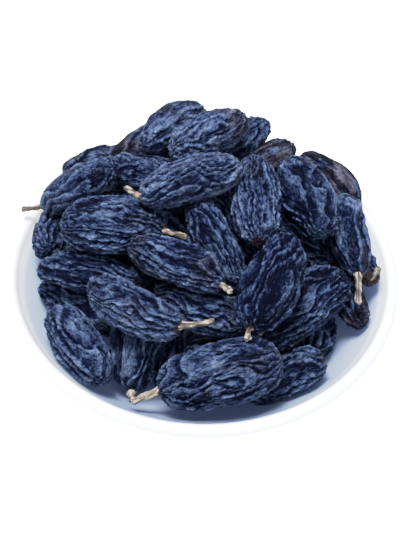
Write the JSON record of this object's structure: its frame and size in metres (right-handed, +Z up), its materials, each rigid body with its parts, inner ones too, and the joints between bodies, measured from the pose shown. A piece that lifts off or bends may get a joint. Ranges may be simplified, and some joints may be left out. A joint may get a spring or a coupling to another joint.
{
  "type": "bowl of black raisins",
  "caption": "Small white footed bowl heaped with wrinkled blue-black raisins, whole dried grapes that still carry their woody stalks.",
  "frame": {"origin": "middle of the bowl's foot, on the surface that the bowl stands on", "axes": "+Z up along the bowl's axis; -Y towards the front of the heap, the side the picture shows; +X to the right"},
  "size_m": [0.1, 0.1, 0.0644],
  "materials": {
    "bowl_glaze": "white glazed porcelain, smooth and glossy",
    "raisin_skin": "dry wrinkled grape skin, blue-black with a thin grey-blue bloom on the crests, matt",
    "purple_skin": "dry wrinkled grape skin, purple-brown where the bloom has worn off, slightly satin",
    "stalk_wood": "thin dry grape stalk, tan to brown, fine lengthwise grain with small dark specks"
  },
  "bodies": {
    "root": {"bowl": "bowl_glaze", "raisin_back_curled": "raisin_skin", "raisin_back_dark": "purple_skin", "raisin_back_left": "purple_skin", "raisin_back_left_outer": "raisin_skin", "raisin_back_right": "purple_skin", "raisin_crown_back_left": "raisin_skin", "raisin_crown_left": "raisin_skin", "raisin_crown_right": "raisin_skin", "raisin_front_big": "raisin_skin", "raisin_front_dark": "raisin_skin", "raisin_front_left": "raisin_skin", "raisin_front_left_wall": "raisin_skin", "raisin_front_right_dark": "raisin_skin", "raisin_front_right_wall": "raisin_skin", "raisin_front_stubby": "raisin_skin", "raisin_gap_front": "raisin_skin", "raisin_gap_middle": "raisin_skin", "raisin_gap_right": "raisin_skin", "raisin_gap_upper": "raisin_skin", "raisin_left_behind": "raisin_skin", "raisin_left_big": "raisin_skin", "raisin_left_edge": "raisin_skin", "raisin_left_edge_low": "raisin_skin", "raisin_left_flat": "raisin_skin", "raisin_left_long": "raisin_skin", "raisin_left_low": "raisin_skin", "raisin_low_middle": "raisin_skin", "raisin_middle_big": "raisin_skin", "raisin_middle_left": "raisin_skin", "raisin_middle_slanting": "raisin_skin", "raisin_right_big": "raisin_skin", "raisin_right_edge": "raisin_skin", "raisin_right_low": "raisin_skin", "raisin_right_low_edge": "raisin_skin", "raisin_right_ridged": "raisin_skin", "raisin_right_upper": "raisin_skin", "raisin_right_wall": "raisin_skin", "raisin_top": "raisin_skin", "raisin_upper_left": "raisin_skin", "raisin_upright": "raisin_skin", "raisin_back_1": "raisin_skin", "raisin_back_10": "raisin_skin", "raisin_back_11": "raisin_skin", "raisin_back_12": "raisin_skin", "raisin_back_2": "raisin_skin", "raisin_back_3": "raisin_skin", "raisin_back_4": "raisin_skin", "raisin_back_5": "raisin_skin", "raisin_back_6": "raisin_skin", "raisin_back_7": "raisin_skin", "raisin_back_8": "raisin_skin", "raisin_back_9": "raisin_skin", "stuck_raisins_bottom": "raisin_skin", "stuck_raisins_front": "raisin_skin", "stuck_raisins_left": "raisin_skin", "stuck_raisins_right": "raisin_skin", "stuck_raisins_top": "raisin_skin"}
  },
  "joints": []
}
